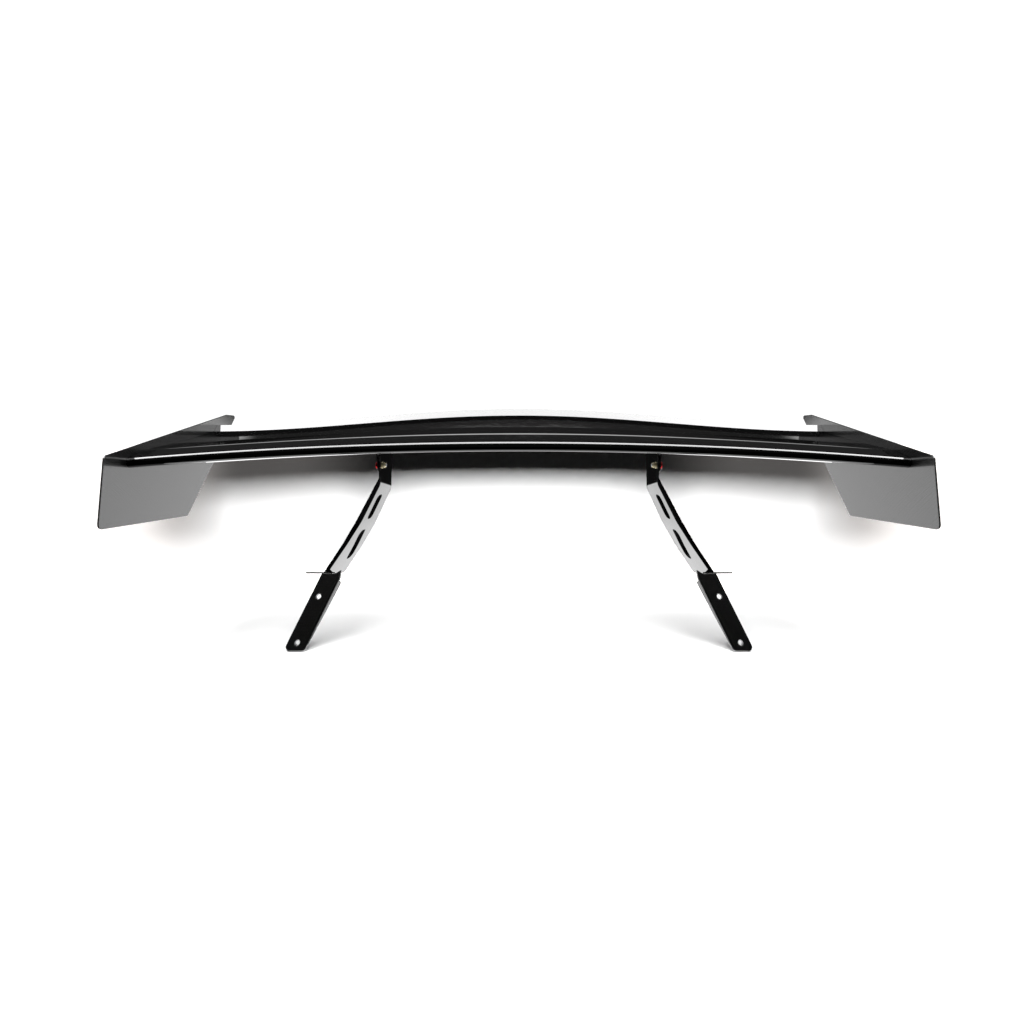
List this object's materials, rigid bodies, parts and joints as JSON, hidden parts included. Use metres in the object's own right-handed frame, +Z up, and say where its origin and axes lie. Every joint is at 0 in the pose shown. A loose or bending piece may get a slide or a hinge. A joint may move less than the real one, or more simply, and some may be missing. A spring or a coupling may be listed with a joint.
{
  "type": "racing rear wing",
  "caption": "Arched carbon-look rear wing with a kicked-up tail lip and clipped endplates, tilting on slotted flared stands with bolted feet.",
  "frame": {"origin": "middle of the bounding box's bottom, on the wing's mid-span plane, at the height of the feet's lower ends", "axes": "+X across the car to its left side, +Y rearward along the car, +Z up"},
  "size_m": [1.397, 0.4235, 0.4645],
  "materials": {
    "wing_carbon": "gloss",
    "endplate_carbon": "gloss",
    "stand_carbon": "gloss",
    "inner_structure": "matt",
    "bracket": "satin",
    "bushes": "satin",
    "red_anodised": "satin",
    "zinc_nuts": "satin",
    "steel_fasteners": "satin",
    "black_fasteners": "satin"
  },
  "bodies": {
    "stands": {"stand_left": "stand_carbon", "foot_bush_left_upper": "bushes", "foot_bush_left_lower": "bushes", "pivot_washer_left": "red_anodised", "pivot_bolt_left": "steel_fasteners", "pivot_nut_left": "zinc_nuts", "adjust_washer_left": "steel_fasteners", "adjust_bolt_left": "black_fasteners", "stand_right": "stand_carbon", "foot_bush_right_upper": "bushes", "foot_bush_right_lower": "bushes", "pivot_washer_right": "red_anodised", "pivot_bolt_right": "steel_fasteners", "pivot_nut_right": "zinc_nuts", "adjust_washer_right": "steel_fasteners", "adjust_bolt_right": "black_fasteners"},
    "wing": {"wing_upper_skin": "wing_carbon", "wing_lower_skin": "wing_carbon", "front_spar": "inner_structure", "rear_spar": "inner_structure", "endplate_left": "endplate_carbon", "end_rib_left": "inner_structure", "mount_rib_left": "inner_structure", "wing_bracket_left": "bracket", "endplate_screw_left_front": "black_fasteners", "endplate_screw_left_middle": "black_fasteners", "endplate_screw_left_rear": "black_fasteners", "bracket_screw_left_front": "steel_fasteners", "bracket_screw_left_rear": "steel_fasteners", "endplate_right": "endplate_carbon", "end_rib_right": "inner_structure", "mount_rib_right": "inner_structure", "wing_bracket_right": "bracket", "endplate_screw_right_front": "black_fasteners", "endplate_screw_right_middle": "black_fasteners", "endplate_screw_right_rear": "black_fasteners", "bracket_screw_right_front": "steel_fasteners", "bracket_screw_right_rear": "steel_fasteners"}
  },
  "joints": [
    {"name": "angle_of_attack", "type": "hinge", "parent": "stands", "child": "wing", "pos_m": [0, -0.0505, 0.3425], "axis": [1, 0, 0], "range_deg": [-6, 6]}
  ]
}
